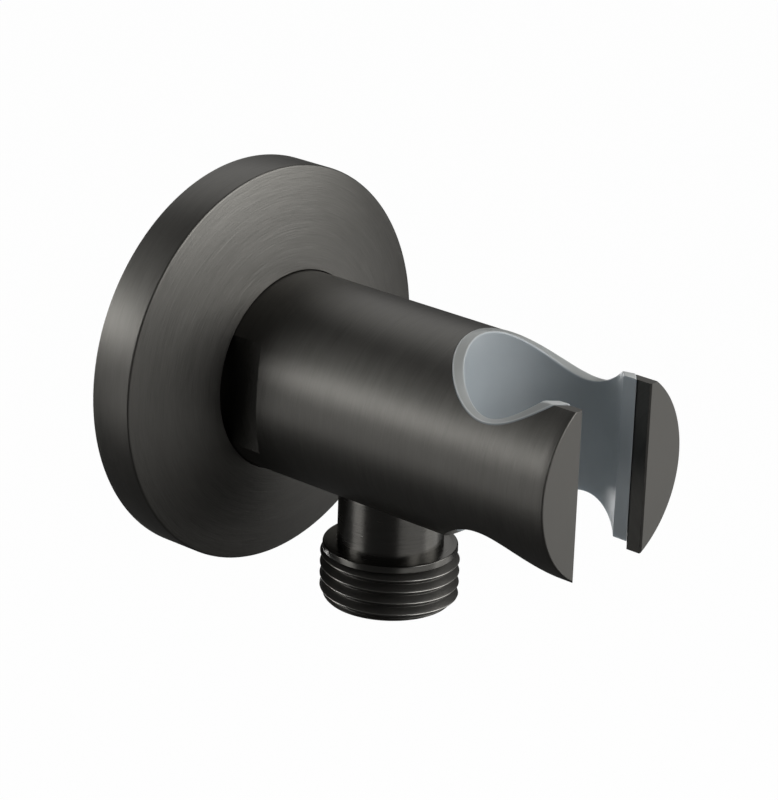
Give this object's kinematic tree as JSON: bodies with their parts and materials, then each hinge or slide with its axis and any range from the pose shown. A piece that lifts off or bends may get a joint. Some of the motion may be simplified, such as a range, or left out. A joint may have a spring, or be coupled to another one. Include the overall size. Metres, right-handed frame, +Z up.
{
  "type": "wall outlet elbow",
  "caption": "Shower wall outlet with a round wall plate, a cylindrical body, a slotted handset holder and a male threaded hose outlet that points down.",
  "frame": {"origin": "centre of the wall plate's back face, which lies on the wall", "axes": "+Y into the wall along the body's axis, +Z up, the hose outlet points to -Z and the open nose of the handset holder to -Y"},
  "size_m": [0.0616, 0.0728, 0.0616],
  "materials": {
    "gunmetal_brass": "brass with a brushed dark gunmetal coating",
    "liner_plastic": "translucent pale grey acetal",
    "black_rubber": "black rubber",
    "fibre_washer": "flat black rubber washer",
    "valve_plastic": "natural white acetal",
    "poppet_plastic": "blue acetal",
    "spring_steel": "bright stainless steel wire"
  },
  "bodies": {
    "elbow": {"holder_body": "gunmetal_brass", "wall_plate": "gunmetal_brass", "plate_o_ring": "black_rubber", "inlet_washer": "fibre_washer", "outlet_nipple": "gunmetal_brass", "nipple_o_ring": "black_rubber", "holder_liner": "liner_plastic", "check_valve_housing": "valve_plastic", "check_valve_o_ring": "black_rubber", "check_valve_guide": "valve_plastic", "check_valve_spring": "spring_steel"},
    "poppet": {"check_valve_poppet": "poppet_plastic", "check_valve_seal": "black_rubber"}
  },
  "joints": [
    {"name": "check_valve_lift", "type": "slide", "parent": "elbow", "child": "poppet", "axis": [0, 0, -1], "range_m": [0, 0.002], "stiffness_N_per_m": 60, "springref_m": -0.004, "deforming": ["check_valve_spring"]}
  ]
}
